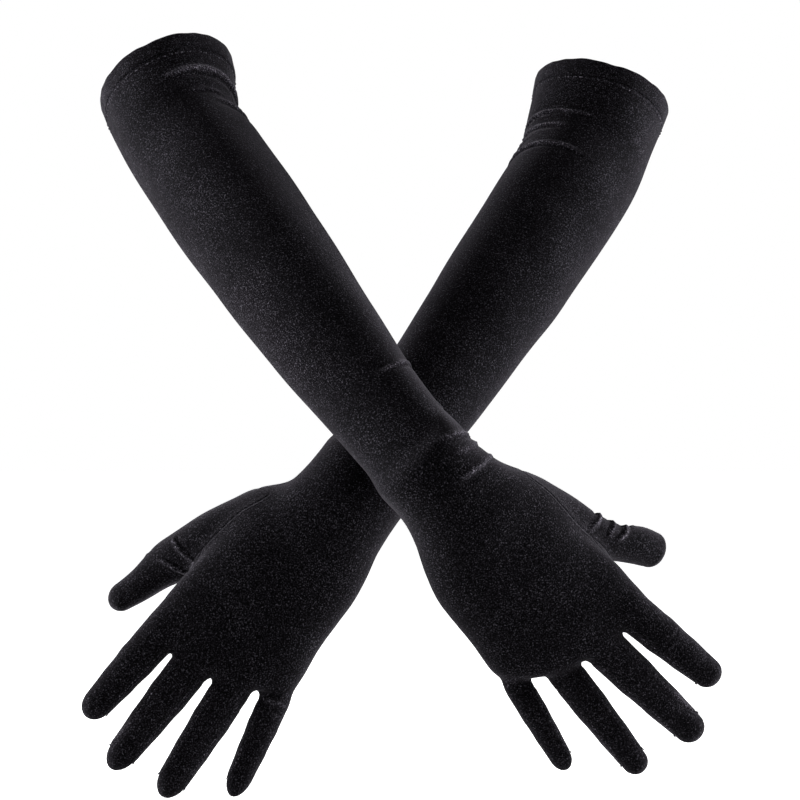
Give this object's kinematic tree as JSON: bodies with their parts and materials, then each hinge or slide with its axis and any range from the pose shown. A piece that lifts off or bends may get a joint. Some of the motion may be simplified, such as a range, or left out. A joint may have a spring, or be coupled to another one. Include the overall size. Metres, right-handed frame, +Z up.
{
  "type": "opera gloves",
  "caption": "Elbow-length stretch gloves, crossed as on folded arms, with separate panels, finger strips, set-in thumbs and turned hems, jointed at elbow, wrist and digits.",
  "frame": {"origin": "inside the right forearm sleeve on the arm's centre line, where the two gloves cross", "axes": "+Z up, fingers down; backs of the hands face -Y; +X is towards the right hand, whose glove is in front"},
  "size_m": [0.3063, 0.2426, 0.376],
  "materials": {
    "black_cloth": "fine stretch velvet-satin, near black with a soft grey sheen at grazing angles",
    "fork_cloth": "the same cloth cut across its nap, slightly lighter",
    "hem_cloth": "the same cloth folded in and doubled",
    "thread": "black sewing thread"
  },
  "bodies": {
    "right_forearm": {"right_forearm_back_panel": "black_cloth", "right_forearm_palm_panel": "black_cloth"},
    "right_upper_sleeve": {"right_upper_back_panel": "black_cloth", "right_upper_palm_panel": "black_cloth", "right_hem_band": "hem_cloth", "right_hem_thread": "thread"},
    "right_hand": {"right_hand_back_panel": "black_cloth", "right_hand_palm_panel": "black_cloth", "right_thumb_root": "black_cloth"},
    "right_knuckles": {"right_knuckle_back_panel": "black_cloth", "right_knuckle_palm_panel": "black_cloth"},
    "right_thumb": {"right_thumb_end": "black_cloth"},
    "right_index": {"right_index_back_strip": "black_cloth", "right_index_palm_strip": "black_cloth", "right_index_fork_little_side": "fork_cloth"},
    "right_middle": {"right_middle_back_strip": "black_cloth", "right_middle_palm_strip": "black_cloth", "right_middle_fork_thumb_side": "fork_cloth", "right_middle_fork_little_side": "fork_cloth"},
    "right_ring": {"right_ring_back_strip": "black_cloth", "right_ring_palm_strip": "black_cloth", "right_ring_fork_thumb_side": "fork_cloth", "right_ring_fork_little_side": "fork_cloth"},
    "right_little": {"right_little_back_strip": "black_cloth", "right_little_palm_strip": "black_cloth", "right_little_fork_thumb_side": "fork_cloth"},
    "left_forearm": {"left_forearm_back_panel": "black_cloth", "left_forearm_palm_panel": "black_cloth"},
    "left_upper_sleeve": {"left_upper_back_panel": "black_cloth", "left_upper_palm_panel": "black_cloth", "left_hem_band": "hem_cloth", "left_hem_thread": "thread"},
    "left_hand": {"left_hand_back_panel": "black_cloth", "left_hand_palm_panel": "black_cloth", "left_thumb_root": "black_cloth"},
    "left_knuckles": {"left_knuckle_back_panel": "black_cloth", "left_knuckle_palm_panel": "black_cloth"},
    "left_thumb": {"left_thumb_end": "black_cloth"},
    "left_index": {"left_index_back_strip": "black_cloth", "left_index_palm_strip": "black_cloth", "left_index_fork_little_side": "fork_cloth"},
    "left_middle": {"left_middle_back_strip": "black_cloth", "left_middle_palm_strip": "black_cloth", "left_middle_fork_thumb_side": "fork_cloth", "left_middle_fork_little_side": "fork_cloth"},
    "left_ring": {"left_ring_back_strip": "black_cloth", "left_ring_palm_strip": "black_cloth", "left_ring_fork_thumb_side": "fork_cloth", "left_ring_fork_little_side": "fork_cloth"},
    "left_little": {"left_little_back_strip": "black_cloth", "left_little_palm_strip": "black_cloth", "left_little_fork_thumb_side": "fork_cloth"}
  },
  "joints": [
    {"name": "gloves_apart", "type": "slide", "parent": "right_forearm", "child": "left_forearm", "axis": [0, 1, 0], "range_m": [0, 0.25]},
    {"name": "right_elbow", "type": "hinge", "parent": "right_forearm", "child": "right_upper_sleeve", "pos_m": [-0.1095, 0.1182, 0.1512], "axis": [0.618, 0.7716, -0.1506], "range_deg": [-8, 45]},
    {"name": "right_wrist", "type": "hinge", "parent": "right_forearm", "child": "right_hand", "pos_m": [0.0126, -0.0126, -0.018], "axis": [0.7157, 0, 0.6984], "range_deg": [-45, 25]},
    {"name": "right_knuckle_row", "type": "hinge", "parent": "right_hand", "child": "right_knuckles", "pos_m": [0.07454, 0.00817, -0.09006], "axis": [0.8574, 0.0408, 0.5131], "range_deg": [-10, 50]},
    {"name": "right_index_joint", "type": "hinge", "parent": "right_knuckles", "child": "right_index", "pos_m": [0.11199, 0.01422, -0.08649], "axis": [0.6621, -0.013, 0.7493], "range_deg": [0, 75]},
    {"name": "right_middle_joint", "type": "hinge", "parent": "right_knuckles", "child": "right_middle", "pos_m": [0.09715, 0.01337, -0.1019], "axis": [0.695, -0.0052, 0.719], "range_deg": [0, 75]},
    {"name": "right_ring_joint", "type": "hinge", "parent": "right_knuckles", "child": "right_ring", "pos_m": [0.07967, 0.01316, -0.11431], "axis": [0.7751, 0.0157, 0.6317], "range_deg": [0, 75]},
    {"name": "right_little_joint", "type": "hinge", "parent": "right_knuckles", "child": "right_little", "pos_m": [0.05836, 0.01318, -0.1214], "axis": [0.8855, 0.0507, 0.4618], "range_deg": [0, 75]},
    {"name": "right_thumb_joint", "type": "hinge", "parent": "right_hand", "child": "right_thumb", "pos_m": [0.09998, 0.02778, -0.05239], "axis": [-0.1621, -0.4621, -0.8719], "range_deg": [-50, 0]},
    {"name": "left_elbow", "type": "hinge", "parent": "left_forearm", "child": "left_upper_sleeve", "pos_m": [0.1007, 0.1634, 0.1476], "axis": [0.6548, -0.751, 0.0854], "range_deg": [-15, 45]},
    {"name": "left_wrist", "type": "hinge", "parent": "left_forearm", "child": "left_hand", "pos_m": [-0.022, 0.0369, -0.0239], "axis": [0.7643, 0, -0.6449], "range_deg": [-45, 25]},
    {"name": "left_knuckle_row", "type": "hinge", "parent": "left_hand", "child": "left_knuckles", "pos_m": [-0.07939, 0.02312, -0.10121], "axis": [0.8919, 0.0429, -0.4502], "range_deg": [-10, 50]},
    {"name": "left_index_joint", "type": "hinge", "parent": "left_knuckles", "child": "left_index", "pos_m": [-0.11727, 0.02052, -0.10096], "axis": [0.7462, -0.0051, -0.6657], "range_deg": [0, 75]},
    {"name": "left_middle_joint", "type": "hinge", "parent": "left_knuckles", "child": "left_middle", "pos_m": [-0.10113, 0.0195, -0.11499], "axis": [0.7752, 0.0032, -0.6317], "range_deg": [0, 75]},
    {"name": "left_ring_joint", "type": "hinge", "parent": "left_knuckles", "child": "left_ring", "pos_m": [-0.08297, 0.02047, -0.12613], "axis": [0.8283, 0.0197, -0.56], "range_deg": [0, 75]},
    {"name": "left_little_joint", "type": "hinge", "parent": "left_knuckles", "child": "left_little", "pos_m": [-0.06174, 0.02392, -0.13207], "axis": [0.908, 0.0497, -0.416], "range_deg": [0, 75]},
    {"name": "left_thumb_joint", "type": "hinge", "parent": "left_hand", "child": "left_thumb", "pos_m": [-0.11264, 0.04497, -0.07056], "axis": [-0.3377, 0.6105, 0.7164], "range_deg": [-50, 0]}
  ]
}
